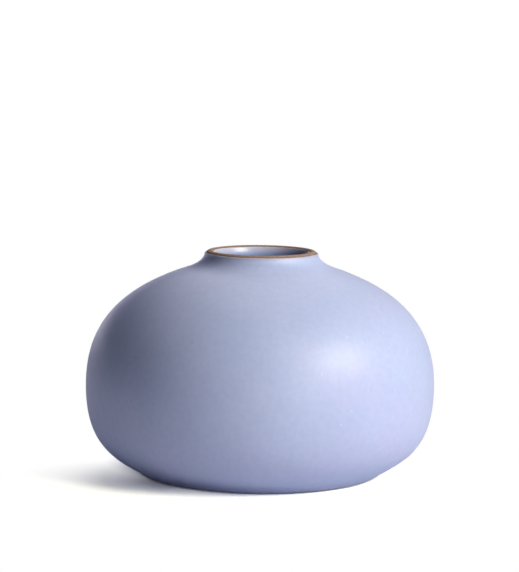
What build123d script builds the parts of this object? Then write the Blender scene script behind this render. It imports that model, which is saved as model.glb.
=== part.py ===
from build123d import *
import os
from math import cos, degrees, radians, sin, tan

# Pillow vase: one slip-cast stoneware body, a satin glaze outside and a gloss glaze inside.
# Millimetres and degrees. +Z is up, and the origin is on the floor, on the vase's axis.
# Every piece is a section in radius and height, turned once round that axis.

# Outline, measured over the outside glaze
BELLY_RADIUS = 70.0       # at the widest line
BELLY_HEIGHT = 35.5       # floor to the widest line
HEIGHT = 89.4             # floor to the crest of the lip
FOOT_RADIUS = 51.0        # where the foot meets the underside of the belly
FOOT_HEIGHT = 2.2         # floor to that meeting line
FOOT_BEVEL = 38.0         # slope of the foot's outer side, from level
UNDERSIDE_SLOPE = 26.0    # slope of the belly where it leaves the foot
NECK_RADIUS = 31.0        # where the shoulder turns up into the neck
NECK_RISE = 7.65          # from that turn up to the crest of the lip
SHOULDER_SLOPE = 18.5     # slope of the shoulder where it reaches the neck
NECK_LEAN = 12.0          # how far the top of the neck leans in, from upright
THROAT_LEAN = 24.0        # how far the neck's inside leans in as it leaves the lip, from upright

# Fullness of each stretch of the curve: how much of its span it keeps to its starting direction
UNDERSIDE_FULLNESS = 0.67
LOWER_BELLY_FULLNESS = 0.57
UPPER_BELLY_FULLNESS = 0.545
SHOULDER_FULLNESS = 0.61
NECK_START = 0.45
NECK_END = 0.30
THROAT_FULLNESS = 0.55

# Clay
WALL = 3.8                # cast wall of the belly
LIP_RADIUS = 20.7         # axis to the crest of the lip
LIP_THICKNESS = 3.2       # bare rounded lip
FOOT_RING_WIDTH = 6.5     # flat ring that the vase stands on
RECESS_DEPTH = 1.4        # hollow of the base inside that ring
RECESS_SLOPE = 50.0       # side of the hollow, from level
FOOT_ROUND = 0.4          # sponged edges of the ring
RECESS_ROUND = 1.5        # corner of the hollow
FLOOR_COVE = 10.0         # inside corner between floor and wall

# Glazes
GLAZE = 0.45              # outside coat
LINING = 0.40             # inside coat
GLAZE_EDGE = 0.4          # run over which a coat rolls off on to the clay
BARE_FOOT = 0.35          # clay left bare above the floor
LINING_CLIMB = 4.0        # how far round the lip the full lining climbs past the throat


def heading(slope):
    """Unit direction in the section, at an angle from the outward radius towards up."""
    return Vector(cos(radians(slope)), sin(radians(slope)))


CLAY_OUT = GLAZE          # depths below the outline: the clay's outside, its inside and the lining's
CLAY_IN = CLAY_OUT + WALL
LINING_IN = CLAY_IN + LINING
LIP_ROUND = LIP_THICKNESS / 2
LIP_CENTRE = Vector(LIP_RADIUS, HEIGHT - LIP_ROUND)
EDGE_TURN = degrees(GLAZE_EDGE / LIP_ROUND)   # a coat's edge, as an angle round the lip
THROAT_START = 180 - THROAT_LEAN          # where the throat leaves the lip's round
FOOT_SIDE = heading(180 + FOOT_BEVEL)     # down the foot's side
FOOT_FACING = heading(FOOT_BEVEL - 90)    # square out of it


def foot_top(depth):
    """Where the foot meets the belly, at a depth square to the underside."""
    return Vector(FOOT_RADIUS, FOOT_HEIGHT) + depth * heading(UNDERSIDE_SLOPE + 90)


def neck_foot(depth):
    """Where the shoulder turns into the neck, at a depth square to the shoulder."""
    return Vector(NECK_RADIUS, HEIGHT - NECK_RISE) - depth * heading(90 - SHOULDER_SLOPE)


def on_lip(angle, proud=0.0):
    """Point on the lip's round, or proud of it."""
    return LIP_CENTRE + (LIP_ROUND + proud) * heading(angle)


def belly_curve(depth):
    """Foot to neck at a depth below the outline: two runs that meet upright at the widest line."""
    foot, neck = foot_top(depth), neck_foot(depth)
    belly = Vector(BELLY_RADIUS - depth, BELLY_HEIGHT)
    out, away = belly.X - foot.X, belly.X - neck.X
    below, above = belly.Y - foot.Y, neck.Y - belly.Y
    leave_foot = UNDERSIDE_FULLNESS * out * Vector(1, tan(radians(UNDERSIDE_SLOPE)))
    leave_neck = SHOULDER_FULLNESS * away * Vector(1, -tan(radians(SHOULDER_SLOPE)))
    lower = Bezier(foot, foot + leave_foot, belly - Vector(0, LOWER_BELLY_FULLNESS * below), belly)
    upper = Bezier(belly, belly + Vector(0, UPPER_BELLY_FULLNESS * above), neck + leave_neck, neck)
    return [lower, upper]


def neck_curve(depth):
    """Hollow sweep from the shoulder up to the lip, at a depth no deeper than the clay's outside."""
    start, end = neck_foot(depth), on_lip(NECK_LEAN, CLAY_OUT - depth)
    span = (end - start).length
    rise = heading(180 - SHOULDER_SLOPE)
    lean = heading(90 + NECK_LEAN)
    return [Bezier(start, start + NECK_START * span * rise, end - NECK_END * span * lean, end)]


def throat_curve(proud):
    """Inside of the neck, drawn in under the lip like a funnel and then flaring into the chamber."""
    top, end = on_lip(THROAT_START, proud), neck_foot(CLAY_IN + proud)
    leave_lip = THROAT_FULLNESS * (top.Y - end.Y) * heading(THROAT_START + 90)
    leave_chamber = THROAT_FULLNESS * (end.X - top.X) * Vector(-1, tan(radians(SHOULDER_SLOPE)))
    return [Bezier(top, top + leave_lip, end + leave_chamber, end)]


def floor_curve(proud):
    """Floor of the chamber from the wall to the axis: a cove, then level."""
    start = foot_top(CLAY_IN + proud)
    cove = FLOOR_COVE - proud
    centre = start + cove * heading(UNDERSIDE_SLOPE + 90)
    corner = CenterArc(centre, cove, 270, UNDERSIDE_SLOPE)
    level = centre - Vector(0, cove)
    return [corner, Line(level, Vector(0, level.Y))]


def rolled_edge(end, along, contact, facing, thickness):
    """Edge of a coat: it leaves its own surface smoothly and meets the clay square on."""
    return Bezier(end, end + GLAZE_EDGE / 2 * along, contact + thickness / 2 * facing, contact)


def turned(edges):
    """Solid turned from a closed section."""
    return revolve(Plane.XZ * make_face(edges), axis=Axis.Z)


# Stoneware body
# The recess, the ring and the foot's side run as one line from the axis to the belly.
side_top = foot_top(CLAY_OUT)
ring_outside = side_top + side_top.Y / sin(radians(FOOT_BEVEL)) * FOOT_SIDE
ring_inside = ring_outside - Vector(FOOT_RING_WIDTH, 0)
recess_corner = ring_inside + RECESS_DEPTH * Vector(-1 / tan(radians(RECESS_SLOPE)), 1)
base_line = FilletPolyline(
    Vector(0, RECESS_DEPTH), recess_corner, ring_inside, ring_outside, side_top,
    radius=[RECESS_ROUND, FOOT_ROUND, FOOT_ROUND],
)
floor_line = floor_curve(0)
axis_line = Line(Vector(0, RECESS_DEPTH), floor_line[-1] @ 1)
lip_line = CenterArc(LIP_CENTRE, LIP_ROUND, NECK_LEAN, THROAT_START - NECK_LEAN)
stoneware_body = turned(
    [base_line, *belly_curve(CLAY_OUT), *neck_curve(CLAY_OUT), lip_line, *throat_curve(0),
     *belly_curve(CLAY_IN), *floor_line, axis_line]
)

# Outside glaze
# It lies on the clay from the lip's outer side to just above the floor.
glaze_stop_on_lip = NECK_LEAN + EDGE_TURN
lip_under_glaze = CenterArc(LIP_CENTRE, LIP_ROUND, NECK_LEAN, EDGE_TURN)
lip_end = rolled_edge(
    on_lip(NECK_LEAN, GLAZE), heading(90 + NECK_LEAN),
    on_lip(glaze_stop_on_lip), heading(glaze_stop_on_lip), GLAZE,
)
clay_stop = side_top + (side_top.Y - BARE_FOOT) / sin(radians(FOOT_BEVEL)) * FOOT_SIDE
glaze_run = (FOOT_HEIGHT - BARE_FOOT) / sin(radians(FOOT_BEVEL)) - GLAZE_EDGE
glaze_stop = foot_top(0) + glaze_run * FOOT_SIDE
outside_glaze = turned(
    [*belly_curve(0), *neck_curve(0), lip_end, lip_under_glaze, *neck_curve(CLAY_OUT),
     *belly_curve(CLAY_OUT), Line(side_top, clay_stop),
     rolled_edge(glaze_stop, FOOT_SIDE, clay_stop, FOOT_FACING, GLAZE), Line(glaze_stop, foot_top(0))]
)

# Lining glaze
# It covers the whole chamber and stops on the inner side of the lip.
lining_top = THROAT_START - LINING_CLIMB
lining_stop = lining_top - EDGE_TURN
lip_under_lining = CenterArc(LIP_CENTRE, LIP_ROUND, lining_stop, THROAT_START - lining_stop)
lining_face = CenterArc(LIP_CENTRE, LIP_ROUND + LINING, lining_top, LINING_CLIMB)
lining_edge = rolled_edge(
    on_lip(lining_top, LINING), heading(lining_top - 90),
    on_lip(lining_stop), heading(lining_stop), LINING,
)
lining_floor = floor_curve(LINING)
lining_axis = Line(floor_line[-1] @ 1, lining_floor[-1] @ 1)
lining_glaze = turned(
    [lip_under_lining, *throat_curve(0), *belly_curve(CLAY_IN), *floor_line, lining_axis, *lining_floor,
     *belly_curve(LINING_IN), *throat_curve(LINING), lining_face, lining_edge]
)

os.makedirs("parts", exist_ok=True)
for name, piece in (
    ("stoneware_body", stoneware_body), ("outside_glaze", outside_glaze), ("lining_glaze", lining_glaze),
):
    piece.label = name
    export_step(piece, f"parts/{name}.step")
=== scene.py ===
from math import cos, pi, radians, sin, tan

import bpy
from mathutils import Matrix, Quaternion, Vector


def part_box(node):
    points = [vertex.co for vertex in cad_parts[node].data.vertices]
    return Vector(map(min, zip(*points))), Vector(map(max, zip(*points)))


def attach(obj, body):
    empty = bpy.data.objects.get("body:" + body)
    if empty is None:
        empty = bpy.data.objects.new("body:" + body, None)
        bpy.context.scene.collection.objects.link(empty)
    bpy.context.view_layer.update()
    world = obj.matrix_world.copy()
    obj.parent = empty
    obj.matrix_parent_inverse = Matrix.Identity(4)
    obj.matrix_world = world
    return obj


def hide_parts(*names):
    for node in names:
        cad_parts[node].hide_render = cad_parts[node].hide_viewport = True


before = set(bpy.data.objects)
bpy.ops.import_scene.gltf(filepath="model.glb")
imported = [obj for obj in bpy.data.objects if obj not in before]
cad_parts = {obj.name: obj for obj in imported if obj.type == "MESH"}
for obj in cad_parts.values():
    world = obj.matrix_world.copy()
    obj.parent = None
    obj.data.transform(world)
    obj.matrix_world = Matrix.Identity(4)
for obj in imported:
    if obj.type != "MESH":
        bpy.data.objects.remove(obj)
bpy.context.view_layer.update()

# Stoneware body
# One hollow casting in brown stoneware, made by pouring slip into a plaster mould, then sponged
# and fired. Only its rounded lip and the ring and recess under the foot are left bare.
MM = 0.001
glaze_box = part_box("outside_glaze")
clay_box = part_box("stoneware_body")
lining_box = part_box("lining_glaze")
belly_radius = glaze_box[1].x
height = clay_box[1].z
glaze = belly_radius - clay_box[1].x
wall = clay_box[1].x - lining_box[1].x
clay_in = glaze + wall
belly_height = 35.5 * MM
foot_radius = 51.0 * MM
foot_height = 2.2 * MM
foot_bevel = radians(38)
underside_slope = radians(26)
neck_radius = 31.0 * MM
neck_rise = 7.65 * MM
shoulder_slope = radians(18.5)
neck_lean = radians(12)
throat_lean = radians(24)
throat_start = pi - throat_lean
lip_round = 1.6 * MM
lip_centre = Vector((20.7 * MM, height - lip_round))
foot_ring_width = 6.5 * MM
foot_round = 0.4 * MM
recess_depth = 1.4 * MM
recess_slope = radians(50)
recess_round = 1.5 * MM
floor_cove = 10.0 * MM
bare_foot = 0.35 * MM

# How much of its span each stretch of the section keeps to its starting direction
underside_fullness = 0.67
lower_belly_fullness = 0.57
upper_belly_fullness = 0.545
shoulder_fullness = 0.61
neck_start = 0.45
neck_end = 0.30
throat_fullness = 0.55


def heading(angle):
    """Unit direction in the section, which has the radius across and the height up."""
    return Vector((cos(angle), sin(angle)))


def run(start, toward, away, end, steps):
    """Points of one smooth run of the section, up to but not including its end."""
    points = []
    for i in range(steps):
        t = i / steps
        u = 1 - t
        points.append(u**3 * start + 3 * u * u * t * toward + 3 * u * t * t * away + t**3 * end)
    return points


def bow(centre, radius, first, last, steps):
    """Points of a round run of the section, up to but not including its end."""
    return [centre + radius * heading(first + (last - first) * i / steps) for i in range(steps)]


def eased_corner(before, corner, after, radius, steps):
    """Points that round a corner between two straight lines."""
    back, on = (before - corner).normalized(), (after - corner).normalized()
    reach = radius * tan((pi - back.angle(on)) / 2)
    start, end = corner + reach * back, corner + reach * on
    return run(start, start.lerp(corner, 2 / 3), end.lerp(corner, 2 / 3), end, steps) + [end]


def foot_top(depth):
    """Where the foot meets the belly, at a depth below the outside of the glaze."""
    return Vector((foot_radius, foot_height)) + depth * heading(underside_slope + pi / 2)


def neck_foot(depth):
    """Where the shoulder turns up into the neck, at a depth below the outside of the glaze."""
    return Vector((neck_radius, height - neck_rise)) - depth * heading(pi / 2 - shoulder_slope)


def belly(depth, steps):
    """Foot to neck at a depth: two runs that meet upright at the widest line."""
    foot, neck_turn = foot_top(depth), neck_foot(depth)
    widest = Vector((belly_radius - depth, belly_height))
    leave_foot = underside_fullness * (widest.x - foot.x) * Vector((1, tan(underside_slope)))
    leave_neck = shoulder_fullness * (widest.x - neck_turn.x) * Vector((1, -tan(shoulder_slope)))
    below = Vector((0, lower_belly_fullness * (widest.y - foot.y)))
    above = Vector((0, upper_belly_fullness * (neck_turn.y - widest.y)))
    lower = run(foot, foot + leave_foot, widest - below, widest, steps)
    upper = run(widest, widest + above, neck_turn + leave_neck, neck_turn, steps + steps // 2)
    return lower + upper


def neck(depth, steps):
    """The hollow sweep from the shoulder up to the lip's outer side."""
    start = neck_foot(depth)
    end = lip_centre + (lip_round + glaze - depth) * heading(neck_lean)
    span = (end - start).length
    toward = start + neck_start * span * heading(pi - shoulder_slope)
    return run(start, toward, end - neck_end * span * heading(pi / 2 + neck_lean), end, steps)


def throat(proud, steps):
    """Inside of the neck from the chamber up to the lip's funnel, at a thickness proud of the clay."""
    top, start = lip_centre + (lip_round + proud) * heading(throat_start), neck_foot(clay_in + proud)
    flare = throat_fullness * (start.x - top.x) * Vector((1, -tan(shoulder_slope)))
    funnel = throat_fullness * (top.y - start.y) * heading(throat_start + pi / 2)
    return run(start, start - flare, top + funnel, top, steps)


def chamber_floor(proud, steps):
    """From the axis out across the level floor and up its cove to the wall."""
    wall_foot = foot_top(clay_in + proud)
    centre = wall_foot + (floor_cove - proud) * heading(underside_slope + pi / 2)
    level = centre.y - (floor_cove - proud)
    flat = [Vector((centre.x * i / steps, level)) for i in range(steps)]
    return flat + bow(centre, floor_cove - proud, -pi / 2, -pi / 2 + underside_slope, steps)


def to_linear(hex_colour):
    """An sRGB hex colour as the linear colour that a shader takes."""
    parts = [int(hex_colour[i:i + 2], 16) / 255 for i in (1, 3, 5)]
    return [c / 12.92 if c <= 0.04045 else ((c + 0.055) / 1.055) ** 2.4 for c in parts] + [1]


def add(tree, kind, inputs=None, **settings):
    """Adds a node with its settings, and gives its inputs values or other nodes' outputs."""
    made = tree.nodes.new(kind)
    for name, value in settings.items():
        setattr(made, name, value)
    for key, value in (inputs or {}).items():
        if isinstance(value, bpy.types.NodeSocket):
            tree.links.new(value, made.inputs[key])
        else:
            made.inputs[key].default_value = value
    return made


# The tree carries a section round the vase's axis. "Waver" slides the edge of a coat along the clay,
# and "Swell" gives the shown face the slight unevenness of a cast and sponged pot.
turning = bpy.data.node_groups.new("Turned section", "GeometryNodeTree")
for label, kind in (
    ("Section", "NodeSocketGeometry"), ("Rail", "NodeSocketFloat"), ("Sides", "NodeSocketInt"),
    ("Waver", "NodeSocketFloat"), ("Waves", "NodeSocketFloat"), ("Swell", "NodeSocketFloat"),
    ("Swell Length", "NodeSocketFloat"), ("Seed", "NodeSocketFloat"), ("Finish", "NodeSocketMaterial"),
):
    turning.interface.new_socket(label, in_out="INPUT", socket_type=kind)
turning.interface.new_socket("Geometry", in_out="OUTPUT", socket_type="NodeSocketGeometry")
given = add(turning, "NodeGroupInput").outputs
outline = add(turning, "GeometryNodeMeshToCurve", {"Mesh": given["Section"]})
rail = add(
    turning, "GeometryNodeCurvePrimitiveCircle",
    {"Resolution": given["Sides"], "Radius": given["Rail"]},
)
swept = add(
    turning, "GeometryNodeCurveToMesh",
    {"Curve": rail.outputs["Curve"], "Profile Curve": outline.outputs["Curve"]},
)
place = add(turning, "GeometryNodeInputPosition").outputs["Position"]
level = add(turning, "ShaderNodeVectorMath", {0: place, 1: (1, 1, 0)}, operation="MULTIPLY")
outward = add(turning, "ShaderNodeVectorMath", {0: level.outputs["Vector"]}, operation="NORMALIZE")
wander = add(
    turning, "ShaderNodeTexNoise",
    {"Vector": outward.outputs["Vector"], "W": given["Seed"], "Scale": given["Waves"], "Detail": 2.0},
    noise_dimensions="4D",
)
wander_about = add(turning, "ShaderNodeMath", {0: wander.outputs["Fac"], 1: 0.5}, operation="SUBTRACT")
waver = add(
    turning, "ShaderNodeMath",
    {0: wander_about.outputs[0], 1: given["Waver"]},
    operation="MULTIPLY",
)
slide = add(turning, "GeometryNodeInputNamedAttribute", {"Name": "slide"}, data_type="FLOAT_VECTOR")
slide_now = add(
    turning, "ShaderNodeVectorMath",
    {0: slide.outputs["Attribute"], "Scale": waver.outputs[0]},
    operation="SCALE",
)
slide_parts = add(turning, "ShaderNodeSeparateXYZ", {"Vector": slide_now.outputs["Vector"]})
slide_out = add(
    turning, "ShaderNodeVectorMath", {0: outward.outputs["Vector"], "Scale": slide_parts.outputs["X"]},
    operation="SCALE",
)
slide_up = add(turning, "ShaderNodeCombineXYZ", {"Z": slide_parts.outputs["Y"]})
swell_scale = add(turning, "ShaderNodeMath", {0: 1.0, 1: given["Swell Length"]}, operation="DIVIDE")
uneven = add(
    turning, "ShaderNodeTexNoise",
    {"Vector": place, "W": given["Seed"], "Scale": swell_scale.outputs[0], "Detail": 1.0},
    noise_dimensions="4D",
)
uneven_about = add(turning, "ShaderNodeMath", {0: uneven.outputs["Fac"], 1: 0.5}, operation="SUBTRACT")
shown = add(turning, "GeometryNodeInputNamedAttribute", {"Name": "shown"}, data_type="FLOAT")
swell_share = add(
    turning, "ShaderNodeMath", {0: shown.outputs["Attribute"], 1: given["Swell"]}, operation="MULTIPLY"
)
swell = add(
    turning, "ShaderNodeMath",
    {0: uneven_about.outputs[0], 1: swell_share.outputs[0]},
    operation="MULTIPLY",
)
facing = add(turning, "GeometryNodeInputNormal").outputs["Normal"]
swollen = add(turning, "ShaderNodeVectorMath", {0: facing, "Scale": swell.outputs[0]}, operation="SCALE")
slid = add(
    turning, "ShaderNodeVectorMath",
    {0: slide_out.outputs["Vector"], 1: slide_up.outputs["Vector"]},
    operation="ADD",
)
moved = add(
    turning, "ShaderNodeVectorMath",
    {0: slid.outputs["Vector"], 1: swollen.outputs["Vector"]},
    operation="ADD",
)
shaped = add(
    turning, "GeometryNodeSetPosition",
    {"Geometry": swept.outputs["Mesh"], "Offset": moved.outputs["Vector"]},
)
closed = add(
    turning, "GeometryNodeMergeByDistance",
    {"Geometry": shaped.outputs["Geometry"], "Distance": 0.001 * MM},
)
smooth = add(turning, "GeometryNodeSetShadeSmooth", {"Geometry": closed.outputs["Geometry"]})
finished = add(
    turning, "GeometryNodeSetMaterial",
    {"Geometry": smooth.outputs["Geometry"], "Material": given["Finish"]},
)
real = add(turning, "GeometryNodeRealizeInstances", {"Geometry": finished.outputs["Geometry"]})
add(turning, "NodeGroupOutput", {"Geometry": real.outputs["Geometry"]})


def turned(name, points, ring, finish, **sizes):
    """Turns a section into a plain closed mesh. A point is its place, slide, showing and thinness."""
    section = bpy.data.meshes.new(name)
    links = [(i, i + 1) for i in range(len(points) - 1)]
    if ring:
        links.append((len(points) - 1, 0))
    section.from_pydata([(place.x - belly_radius, -place.y, 0) for place, *_ in points], links, [])
    slides = section.attributes.new("slide", "FLOAT_VECTOR", "POINT")
    slides.data.foreach_set("vector", [part for _, slide, *_ in points for part in (slide.x, slide.y, 0)])
    showing = section.attributes.new("shown", "FLOAT", "POINT")
    showing.data.foreach_set("value", [shows for *_, shows, _ in points])
    thinness = section.attributes.new("thin", "FLOAT", "POINT")
    thinness.data.foreach_set("value", [thin for *_, thin in points])
    piece = bpy.data.objects.new(name, section)
    bpy.context.scene.collection.objects.link(piece)
    modifier = piece.modifiers.new("Turned section", "NODES")
    modifier.node_group = turning
    settings = {"Rail": belly_radius, "Finish": finish, **sizes}
    for socket in turning.interface.items_tree:
        if socket.in_out == "INPUT" and socket.name in settings:
            modifier[socket.identifier] = settings[socket.name]
    view = bpy.context.evaluated_depsgraph_get()
    mesh = bpy.data.meshes.new_from_object(piece.evaluated_get(view))
    mesh.name = name
    piece.modifiers.remove(modifier)
    piece.data = mesh
    return piece


def plain(points, shows=0.0):
    """Points that keep their place."""
    return [(p, Vector((0, 0)), shows, 0.0) for p in points]


# Unglazed stoneware: an iron-bearing clay fired past the point where it takes up water. It is dull
# and grey-brown, with a fine sandy grain and faint streaks where a damp sponge was wiped round it. Next
# to the glaze it turns darker: partly real toasting and partly painted shade, which stands for the
# contact shadow on the bare strip above the floor and the dark shaded line along the lip's edges. The
# grain is drawn coarser than real sand, so that it shows.
sand_grain = 0.6 * MM
sponge_streak = 0.9 * MM
tone_drift = 7 * MM
bare_stoneware = bpy.data.materials.new("Bare fired stoneware")
bare_stoneware.use_nodes = True
clay = bare_stoneware.node_tree
clay.nodes.clear()
clay_place = add(clay, "ShaderNodeTexCoord").outputs["Object"]
grit = add(
    clay, "ShaderNodeTexNoise",
    {"Vector": clay_place, "Scale": 1 / sand_grain, "Detail": 3.0, "Roughness": 0.6},
)
grit_tone = add(clay, "ShaderNodeValToRGB", {"Fac": grit.outputs["Fac"]})
grit_tone.color_ramp.elements[0].position = 0.32
grit_tone.color_ramp.elements[0].color = to_linear("#7f6454")
grit_tone.color_ramp.elements[1].position = 0.68
grit_tone.color_ramp.elements[1].color = to_linear("#b59b8b")
clay_parts = add(clay, "ShaderNodeSeparateXYZ", {"Vector": clay_place})
clay_level = add(clay, "ShaderNodeVectorMath", {0: clay_place, 1: (1, 1, 0)}, operation="MULTIPLY")
clay_radius = add(clay, "ShaderNodeVectorMath", {0: clay_level.outputs["Vector"]}, operation="LENGTH")
wiped_round = add(
    clay, "ShaderNodeCombineXYZ",
    {"X": clay_radius.outputs["Value"], "Y": clay_parts.outputs["Z"]},
)
wiping = add(
    clay, "ShaderNodeTexNoise",
    {"Vector": wiped_round.outputs["Vector"], "Scale": 1 / sponge_streak, "Detail": 2.0},
)
drift = add(clay, "ShaderNodeTexNoise", {"Vector": clay_place, "Scale": 1 / tone_drift, "Detail": 3.0})
wiped = add(
    clay, "ShaderNodeMath",
    {0: wiping.outputs["Fac"], 1: drift.outputs["Fac"]},
    operation="MULTIPLY",
)
wiped_tone = add(
    clay, "ShaderNodeMixRGB",
    {"Fac": wiped.outputs[0], "Color1": grit_tone.outputs["Color"], "Color2": to_linear("#8b6d59")},
)
bareness = add(clay, "ShaderNodeAttribute", attribute_name="shown")
# Darker tone where the clay is not marked as shown: partly toasting, partly painted shade on the foot
# strip and the lip's edges.
toast_and_shade = add(
    clay, "ShaderNodeMapRange",
    {"Value": bareness.outputs["Fac"], "To Min": 0.7, "To Max": 0.0},
)
toast_and_shade_tone = add(
    clay, "ShaderNodeMixRGB",
    {"Fac": toast_and_shade.outputs["Result"], "Color1": wiped_tone.outputs["Color"],
     "Color2": to_linear("#64493b")},
)
streaks = add(
    clay, "ShaderNodeBump",
    {"Height": wiping.outputs["Fac"], "Strength": 0.4, "Distance": 0.05 * MM},
)
grain = add(
    clay, "ShaderNodeBump",
    {"Height": grit.outputs["Fac"], "Strength": 0.5, "Distance": 0.05 * MM,
     "Normal": streaks.outputs["Normal"]},
)
dulness = add(clay, "ShaderNodeMapRange", {"Value": grit.outputs["Fac"], "To Min": 0.7, "To Max": 0.85})
clay_shader = add(
    clay, "ShaderNodeBsdfPrincipled",
    {"Base Color": toast_and_shade_tone.outputs["Color"], "Roughness": dulness.outputs["Result"],
     "Normal": grain.outputs["Normal"], "IOR": 1.5},
)
add(clay, "ShaderNodeOutputMaterial", {"Surface": clay_shader.outputs["BSDF"]})

# Both coats stop on the lip in a rolled edge, so its crest is bare between the two stops.
coat_edge = 0.4 * MM
edge_turn = coat_edge / lip_round
glaze_stop_on_lip = neck_lean + edge_turn
lining_climb = radians(4)
lining_top = throat_start - lining_climb
lining_stop = lining_top - edge_turn
# Width of the darker band along each coat on the lip, which is partly painted shade.
toast_and_shade_width = 0.6 * MM


def lip_bareness(angle):
    """How clear of both coats the lip's round is: 0 at a coat and 1 past the darker band, which is partly
    painted shade.
    """
    gap = lip_round * min(lining_stop - angle, angle - glaze_stop_on_lip)
    return min(max(gap / toast_and_shade_width, 0.0), 1.0)


side_top = foot_top(glaze)
down_side = -heading(foot_bevel)
clay_stop = side_top + (side_top.y - bare_foot) / sin(foot_bevel) * down_side
ring_outside = side_top + side_top.y / sin(foot_bevel) * down_side
ring_inside = ring_outside - Vector((foot_ring_width, 0))
recess_corner = ring_inside + recess_depth * Vector((-1 / tan(recess_slope), 1))
recess_centre = Vector((0, recess_depth))
body_points = plain(chamber_floor(0, steps=6) + belly(clay_in, steps=24) + throat(0, steps=14))
lip_steps = 40
for i, p in enumerate(bow(lip_centre, lip_round, throat_start, neck_lean, lip_steps)):
    body_points += plain([p], lip_bareness(throat_start + (neck_lean - throat_start) * i / lip_steps))
# The bare strip just above the floor stays unshown, so it takes the full darker tone: painted contact
# shade.
body_points += plain(neck(glaze, steps=14)[::-1] + belly(glaze, steps=24)[::-1] + [clay_stop])
body_points += plain(eased_corner(side_top, ring_outside, ring_inside, foot_round, steps=4))
body_points += plain(
    eased_corner(ring_outside, ring_inside, recess_corner, foot_round, steps=4)
    + eased_corner(ring_inside, recess_corner, recess_centre, recess_round, steps=6)
    + [recess_corner.lerp(recess_centre, i / 8) for i in range(1, 9)],
    1.0,
)
stoneware_body = turned(
    "stoneware_body_fired", body_points, False, bare_stoneware,
    **{"Sides": 240, "Waver": 0.0, "Waves": 1.0, "Swell": 0.0,
       "Swell Length": 9 * MM, "Seed": 3.0},
)
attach(stoneware_body, "root")
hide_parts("stoneware_body")

# Lining glaze
# A thin coat of the same colour, poured in, swilled round and poured out, then fired to a gloss.
# It seals the clay against water and stops on the inner side of the lip.
lining = 0.40 * MM
lining_at_edge = 0.12 * MM
lining_thins_over = 4.5 * MM


def rolled_edge(end, along, contact, facing, thickness, thin, steps):
    """Edge of a coat, which leaves its own face smoothly, thins out and meets the clay square on."""
    roll = run(end, end + coat_edge / 2 * along, contact + thickness / 2 * facing, contact, steps)
    return [(p, along, 0.0, thin + (1 - thin) * i / steps) for i, p in enumerate(roll + [contact])]


def on_lip(angle, proud):
    """Point on the lip's round, or proud of it."""
    return lip_centre + (lip_round + proud) * heading(angle)


def toward_edge(points, thin, reach):
    """Shown face of a coat up to its edge. Within a reach of the edge it thins out and slides with it."""
    marked = []
    left = 0.0
    ahead = points[-1]
    for p, behind in zip(points[::-1], points[-2::-1] + [points[0]]):
        left += (ahead - p).length
        share = max(1 - left / reach, 0.0) ** 2
        marked.append((p, share * (ahead - behind).normalized(), 1.0 - share, thin * share))
        ahead = p
    return marked[::-1]


# Gloss glaze: a clear-surfaced glass over the clay, wet-looking and smooth, in the outside's blue. It
# pools a little deeper in places, pales where it thins out below the lip, and lets the clay show through
# at its very edge. The pale band is partly painted sheen: it is lighter than the thin glaze alone would
# be, and stands for the soft haze of the key lamp on the inner wall.
pool_size = 9 * MM
gloss_lining = bpy.data.materials.new("Gloss lining glaze")
gloss_lining.use_nodes = True
gloss = gloss_lining.node_tree
gloss.nodes.clear()
gloss_place = add(gloss, "ShaderNodeTexCoord").outputs["Object"]
pooling = add(gloss, "ShaderNodeTexNoise", {"Vector": gloss_place, "Scale": 1 / pool_size, "Detail": 2.0})
pool_tone = add(
    gloss, "ShaderNodeMixRGB",
    {"Fac": pooling.outputs["Fac"], "Color1": to_linear("#8fa6e2"), "Color2": to_linear("#a3b6ec")},
)
gloss_thin = add(gloss, "ShaderNodeAttribute", attribute_name="thin")
# Painted sheen in part: the band below the lip is paled further than thinning alone would make it.
gloss_paling_and_sheen = add(
    gloss, "ShaderNodeMapRange",
    {"Value": gloss_thin.outputs["Fac"], "From Max": 0.5, "To Max": 0.8},
)
gloss_pale_and_sheen_tone = add(
    gloss, "ShaderNodeMixRGB",
    {"Fac": gloss_paling_and_sheen.outputs["Result"], "Color1": pool_tone.outputs["Color"],
     "Color2": to_linear("#e0d8de")},
)
gloss_clay = add(
    gloss, "ShaderNodeMapRange",
    {"Value": gloss_thin.outputs["Fac"], "From Min": 0.6, "From Max": 0.9, "To Max": 0.9},
)
gloss_edge_tone = add(
    gloss, "ShaderNodeMixRGB",
    {"Fac": gloss_clay.outputs["Result"], "Color1": gloss_pale_and_sheen_tone.outputs["Color"],
     "Color2": to_linear("#6a5244")},
)
gloss_ripple = add(
    gloss, "ShaderNodeBump",
    {"Height": pooling.outputs["Fac"], "Strength": 0.5, "Distance": 0.1 * MM},
)
gloss_shine = add(
    gloss, "ShaderNodeMapRange", {"Value": pooling.outputs["Fac"], "To Min": 0.31, "To Max": 0.26}
)
gloss_shader = add(
    gloss, "ShaderNodeBsdfPrincipled",
    {"Base Color": gloss_edge_tone.outputs["Color"], "Roughness": gloss_shine.outputs["Result"],
     "Normal": gloss_ripple.outputs["Normal"], "IOR": 1.52},
)
add(gloss, "ShaderNodeOutputMaterial", {"Surface": gloss_shader.outputs["BSDF"]})

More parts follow.
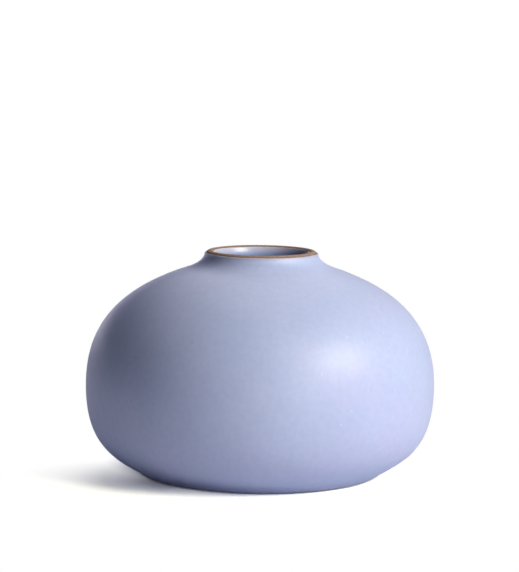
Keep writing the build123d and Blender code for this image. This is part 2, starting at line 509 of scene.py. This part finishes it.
lining_face = chamber_floor(lining, steps=6) + belly(clay_in + lining, steps=24)
for full, least in zip(throat(lining, steps=30), throat(lining_at_edge, steps=30)):
    share = max(1 - (lip_centre.y - full.y) / lining_thins_over, 0.0) ** 2
    lining_face.append(full.lerp(least, share))
lining_face += bow(lip_centre, lip_round + lining_at_edge, throat_start, lining_top, steps=2)
clay_side = chamber_floor(0, steps=6) + belly(clay_in, steps=24) + throat(0, steps=30)
clay_side += bow(lip_centre, lip_round, throat_start, lining_stop, steps=5)
lining_points = toward_edge(lining_face, thin=0.5, reach=lining_thins_over)
lining_points += rolled_edge(
    on_lip(lining_top, lining_at_edge), heading(lining_top - pi / 2), on_lip(lining_stop, 0),
    heading(lining_stop), lining_at_edge, thin=0.5, steps=6,
)
lining_points += plain(clay_side[::-1])
lining_glaze = turned(
    "lining_glaze_fired", lining_points, False, gloss_lining,
    **{"Sides": 240, "Waver": 0.25 * MM, "Waves": 3.0, "Swell": 0.05 * MM,
       "Swell Length": 12 * MM, "Seed": 5.0},
)
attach(lining_glaze, "root")
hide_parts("lining_glaze")

# Outside glaze
# A satin coat sprayed on to the casting and wiped back at the lip and the foot before firing, so it
# stops in a soft rolled edge on the clay at both ends.

# Satin matte glaze: an opaque glass full of tiny crystals, which spread the light into a soft glow. It
# drifts between blue and lavender, is faintly mottled, and has a few pimples and pinholes. Its tooth is
# drawn coarser than the real crystals, so that it shows.
cloud_size = 22 * MM
lavender_size = 30 * MM
mottle_size = 2.2 * MM
tooth_size = 1.3 * MM
pimple_spacing = 7 * MM
pimple_radius = 0.7 * MM
pinhole_spacing = 8 * MM
pinhole_radius = 0.32 * MM
satin_glaze = bpy.data.materials.new("Satin matte glaze")
satin_glaze.use_nodes = True
satin = satin_glaze.node_tree
satin.nodes.clear()
satin_place = add(satin, "ShaderNodeTexCoord").outputs["Object"]
cloud = add(satin, "ShaderNodeTexNoise", {"Vector": satin_place, "Scale": 1 / cloud_size, "Detail": 3.0})
cloud_tone = add(
    satin, "ShaderNodeMixRGB",
    {"Fac": cloud.outputs["Fac"], "Color1": to_linear("#b0bee5"), "Color2": to_linear("#bdc6e8")},
)
lavender = add(
    satin, "ShaderNodeTexNoise",
    {"Vector": satin_place, "W": 4.0, "Scale": 1 / lavender_size, "Detail": 2.0},
    noise_dimensions="4D",
)
lavender_share = add(
    satin, "ShaderNodeMapRange",
    {"Value": lavender.outputs["Fac"], "From Min": 0.45, "From Max": 0.7, "To Max": 0.5},
)
lavender_tone = add(
    satin, "ShaderNodeMixRGB",
    {"Fac": lavender_share.outputs["Result"], "Color1": cloud_tone.outputs["Color"],
     "Color2": to_linear("#bfbee6")},
)
mottle = add(
    satin, "ShaderNodeTexNoise",
    {"Vector": satin_place, "Scale": 1 / mottle_size, "Detail": 2.0},
)
mottle_share = add(
    satin, "ShaderNodeMapRange",
    {"Value": mottle.outputs["Fac"], "From Min": 0.35, "From Max": 0.65, "To Max": 0.35},
)
mottle_tone = add(
    satin, "ShaderNodeMixRGB",
    {"Fac": mottle_share.outputs["Result"], "Color1": lavender_tone.outputs["Color"],
     "Color2": to_linear("#a9b5df")},
)
pimples = add(satin, "ShaderNodeTexVoronoi", {"Vector": satin_place, "Scale": 1 / pimple_spacing})
pimple = add(
    satin, "ShaderNodeMapRange",
    {"Value": pimples.outputs["Distance"], "From Min": 0.01,
     "From Max": pimple_radius / pimple_spacing, "To Min": 1.0, "To Max": 0.0},
)
pimple_tone = add(
    satin, "ShaderNodeMixRGB",
    {"Fac": pimple.outputs["Result"], "Color1": mottle_tone.outputs["Color"],
     "Color2": to_linear("#c5ceea")},
)
pinhole_place = add(satin, "ShaderNodeMapping", {"Vector": satin_place, "Location": (0.31, 0.17, 0.23)})
pinholes = add(
    satin, "ShaderNodeTexVoronoi",
    {"Vector": pinhole_place.outputs["Vector"], "Scale": 1 / pinhole_spacing},
)
pinhole = add(
    satin, "ShaderNodeMapRange",
    {"Value": pinholes.outputs["Distance"], "From Min": 0.01,
     "From Max": pinhole_radius / pinhole_spacing, "To Min": 1.0, "To Max": 0.0},
)
pinhole_tone = add(
    satin, "ShaderNodeMixRGB",
    {"Fac": pinhole.outputs["Result"], "Color1": pimple_tone.outputs["Color"],
     "Color2": to_linear("#8890b2")},
)
satin_thin = add(satin, "ShaderNodeAttribute", attribute_name="thin")
paling = add(
    satin, "ShaderNodeMapRange",
    {"Value": satin_thin.outputs["Fac"], "From Min": 0.1, "From Max": 0.6},
)
pale_tone = add(
    satin, "ShaderNodeMixRGB",
    {"Fac": paling.outputs["Result"], "Color1": pinhole_tone.outputs["Color"],
     "Color2": to_linear("#b4b3cd")},
)
showing_clay = add(
    satin, "ShaderNodeMapRange",
    {"Value": satin_thin.outputs["Fac"], "From Min": 0.7, "From Max": 1.0, "To Max": 0.8},
)
edge_tone = add(
    satin, "ShaderNodeMixRGB",
    {"Fac": showing_clay.outputs["Result"], "Color1": pale_tone.outputs["Color"],
     "Color2": to_linear("#7d6559")},
)
tooth = add(satin, "ShaderNodeTexNoise", {"Vector": satin_place, "Scale": 1 / tooth_size, "Detail": 1.0})
tooth_bump = add(satin, "ShaderNodeBump", {"Height": tooth.outputs["Fac"], "Distance": 0.012 * MM})
pimple_bump = add(
    satin, "ShaderNodeBump",
    {"Height": pimple.outputs["Result"], "Distance": 0.025 * MM, "Normal": tooth_bump.outputs["Normal"]},
)
pinhole_bump = add(
    satin, "ShaderNodeBump",
    {"Height": pinhole.outputs["Result"], "Distance": 0.05 * MM, "Normal": pimple_bump.outputs["Normal"]},
    invert=True,
)
sheen = add(satin, "ShaderNodeMapRange", {"Value": cloud.outputs["Fac"], "To Min": 0.41, "To Max": 0.48})
satin_shader = add(
    satin, "ShaderNodeBsdfPrincipled",
    {"Base Color": edge_tone.outputs["Color"], "Roughness": sheen.outputs["Result"],
     "Normal": pinhole_bump.outputs["Normal"], "IOR": 1.52},
)
add(satin, "ShaderNodeOutputMaterial", {"Surface": satin_shader.outputs["BSDF"]})

glaze_thins_over = 1.4 * MM
square_out = heading(foot_bevel - pi / 2)
glaze_stop = foot_top(0) + ((foot_height - bare_foot) / sin(foot_bevel) - coat_edge) * down_side
glaze_points = rolled_edge(
    on_lip(neck_lean, glaze), heading(pi / 2 + neck_lean), on_lip(glaze_stop_on_lip, 0),
    heading(glaze_stop_on_lip), glaze, thin=0.5, steps=6,
)[::-1]
face_steps = 44
whole_face = belly(0, face_steps)
upper_face = whole_face[face_steps:] + neck(0, steps=30)
foot_face = [foot_top(0).lerp(glaze_stop, i / 6) for i in range(1, 6)]
lower_face = whole_face[:face_steps][::-1] + foot_face
glaze_points += toward_edge(upper_face, thin=0.5, reach=glaze_thins_over)[::-1]
glaze_points += toward_edge(lower_face, thin=0.0, reach=glaze_thins_over)
glaze_points += rolled_edge(glaze_stop, down_side, clay_stop, square_out, glaze, thin=0.0, steps=6)
glaze_points += plain(belly(glaze, steps=24) + neck(glaze, steps=10))
glaze_points += plain(bow(lip_centre, lip_round, neck_lean, glaze_stop_on_lip, steps=3))
outside_glaze = turned(
    "outside_glaze_fired", glaze_points, True, satin_glaze,
    **{"Sides": 300, "Waver": 0.3 * MM, "Waves": 3.0, "Swell": 0.2 * MM,
       "Swell Length": 20 * MM, "Seed": 8.0},
)
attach(outside_glaze, "root")
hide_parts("outside_glaze")

# Studio floor and light
# A plain white floor. A warm soft lamp stands to the right of the camera, and cooler, weaker ones low in
# front, above and behind, so the left side falls into shade with a thin light rim.
floor_half = 3.0
floor_corners = [(x * floor_half, y * floor_half, 0) for x, y in ((-1, -1), (1, -1), (1, 1), (-1, 1))]
floor_mesh = bpy.data.meshes.new("studio_floor")
floor_mesh.from_pydata(floor_corners, [], [(0, 1, 2, 3)])
floor = bpy.data.objects.new("studio_floor", floor_mesh)
bpy.context.scene.collection.objects.link(floor)
white_floor = bpy.data.materials.new("White studio floor")
white_floor.use_nodes = True
white = white_floor.node_tree
white.nodes.clear()

# The camera sees plain white away from the vase. Round the foot, and in an oval to the left in front, it
# sees paint so bright that full light makes it white, and which keeps the real shadow. That paint is
# tinted against the cool lamps that light the shadow, so the shadow stays grey.
shade_under_foot = 4 * MM
shade_past_foot = 15 * MM
shade_centre = Vector((-37.5, -29.7)) * MM
shade_reach = Vector((65, 51)) * MM
deepest_share = 0.13
floor_place = add(white, "ShaderNodeTexCoord").outputs["Object"]
from_axis = add(white, "ShaderNodeVectorMath", {0: floor_place}, operation="LENGTH")
clear_of_foot = add(
    white, "ShaderNodeMapRange",
    {"Value": from_axis.outputs["Value"], "From Min": foot_radius - shade_under_foot,
     "From Max": foot_radius + shade_past_foot},
)
from_shade = add(
    white, "ShaderNodeMapping",
    {"Vector": floor_place, "Scale": (1 / shade_reach.x, 1 / shade_reach.y, 0),
     "Location": (-shade_centre.x / shade_reach.x, -shade_centre.y / shade_reach.y, 0)},
)
shade_share = add(white, "ShaderNodeVectorMath", {0: from_shade.outputs["Vector"]}, operation="LENGTH")
clear_of_shade = add(
    white, "ShaderNodeMapRange",
    {"Value": shade_share.outputs["Value"], "From Min": deepest_share},
)
clear_of_vase = add(
    white, "ShaderNodeMath", {0: clear_of_foot.outputs["Result"], 1: clear_of_shade.outputs["Result"]},
    operation="MINIMUM",
)
paint = add(white, "ShaderNodeBsdfDiffuse", {"Color": (0.78, 0.78, 0.86, 1)})
bright_paint = add(white, "ShaderNodeBsdfDiffuse", {"Color": (2.6, 2.62, 2.26, 1)})
white_glow = add(white, "ShaderNodeEmission", {"Color": (1, 1, 1, 1), "Strength": 1.0})
seen_paint = add(
    white, "ShaderNodeMixShader",
    {0: clear_of_vase.outputs[0], 1: bright_paint.outputs["BSDF"], 2: white_glow.outputs["Emission"]},
)
seen = add(white, "ShaderNodeLightPath").outputs["Is Camera Ray"]
either = add(
    white, "ShaderNodeMixShader",
    {0: seen, 1: paint.outputs["BSDF"], 2: seen_paint.outputs["Shader"]},
)
add(white, "ShaderNodeOutputMaterial", {"Surface": either.outputs["Shader"]})
floor_mesh.materials.append(white_floor)


def soft_lamp(name, azimuth, elevation, distance, width, tall, power, colour, mirrored=True):
    """A rounded soft lamp that faces the vase. Azimuth 0 is the camera's side, and 90 its right."""
    lamp = bpy.data.lights.new(name, "AREA")
    lamp.color = colour
    lamp.shape = "ELLIPSE"
    lamp.size = width
    lamp.size_y = tall
    lamp.energy = power
    stand = bpy.data.objects.new(name, lamp)
    bpy.context.scene.collection.objects.link(stand)
    a, e = radians(azimuth), radians(elevation)
    away = Vector((sin(a) * cos(e), -cos(a) * cos(e), sin(e)))
    stand.location = Vector((0, 0, height / 2)) + distance * away
    stand.rotation_euler = (-away).to_track_quat("-Z", "Y").to_euler()
    stand.visible_camera = False
    stand.visible_glossy = mirrored


warm_white = (1.0, 0.99, 0.84)
cool_white = (0.94, 0.89, 1.0)
soft_lamp(
    "key lamp", azimuth=57, elevation=31, distance=1.0, width=0.6, tall=0.44, power=8.8,
    colour=warm_white,
)
soft_lamp(
    "low front lamp", azimuth=32, elevation=8, distance=1.2, width=0.8, tall=0.3, power=2.7,
    colour=cool_white,
)
soft_lamp(
    "high side lamp", azimuth=64, elevation=58, distance=1.2, width=0.8, tall=0.8, power=1.6,
    colour=cool_white, mirrored=False,
)
soft_lamp(
    "top lamp", azimuth=180, elevation=65, distance=1.2, width=0.8, tall=0.8, power=2.6,
    colour=cool_white,
)
soft_lamp(
    "high back lamp", azimuth=180, elevation=35, distance=1.2, width=0.8, tall=0.5, power=1.9,
    colour=cool_white,
)
soft_lamp(
    "rim lamp", azimuth=200, elevation=4, distance=1.2, width=0.8, tall=0.2, power=0.9,
    colour=cool_white,
)
soft_lamp(
    "left back lamp", azimuth=218, elevation=4, distance=1.2, width=0.8, tall=0.2, power=2.2,
    colour=cool_white, mirrored=False,
)

# The room is white for the camera, and its white wall on the right shows in the gloss.
world = bpy.data.worlds.new("White studio")
bpy.context.scene.world = world
world.use_nodes = True
studio = world.node_tree
studio.nodes.clear()
wall_side = (0.9, 0.44, 0)
wall_glow = 0.45
toward = add(studio, "ShaderNodeTexCoord").outputs["Generated"]
toward_wall = add(studio, "ShaderNodeVectorMath", {0: toward, 1: wall_side}, operation="DOT_PRODUCT")
white_wall = add(
    studio, "ShaderNodeMapRange",
    {"Value": toward_wall.outputs["Value"], "From Min": 0.2, "From Max": 0.8, "To Max": wall_glow},
    interpolation_type="SMOOTHSTEP",
)
path = add(studio, "ShaderNodeLightPath").outputs
mirrored = add(
    studio, "ShaderNodeMath",
    {0: path["Is Glossy Ray"], 1: path["Is Transmission Ray"]},
    operation="MAXIMUM",
)
mirrored_wall = add(
    studio, "ShaderNodeMath",
    {0: mirrored.outputs[0], 1: white_wall.outputs["Result"]},
    operation="MULTIPLY",
)
strength = add(
    studio, "ShaderNodeMath",
    {0: path["Is Camera Ray"], 1: mirrored_wall.outputs[0]},
    operation="MAXIMUM",
)
backdrop = add(studio, "ShaderNodeBackground", {"Color": (1, 1, 1, 1), "Strength": strength.outputs[0]})
add(studio, "ShaderNodeOutputWorld", {"Surface": backdrop.outputs["Background"]})

# Camera
# It stands 0.94 m in front, a little above the vase, and looks slightly down, with the hair of roll
# that the photograph has.
frame_height_px = 572
focal_length_px = 2360.5
camera_data = bpy.data.cameras.new("camera")
camera_data.sensor_width = 36.0
camera_data.lens = focal_length_px / frame_height_px * camera_data.sensor_width
camera = bpy.data.objects.new("camera", camera_data)
bpy.context.scene.collection.objects.link(camera)
camera.location = (-0.64 * MM, -0.94, 186.3 * MM)
pitch = radians(6.755)
roll = radians(0.68)
aim = Vector((0, cos(pitch), -sin(pitch))).to_track_quat("-Z", "Y")
camera.rotation_mode = "QUATERNION"
camera.rotation_quaternion = aim @ Quaternion((0, 0, 1), roll)
bpy.context.scene.camera = camera
bpy.context.scene.view_settings.view_transform = "Standard"
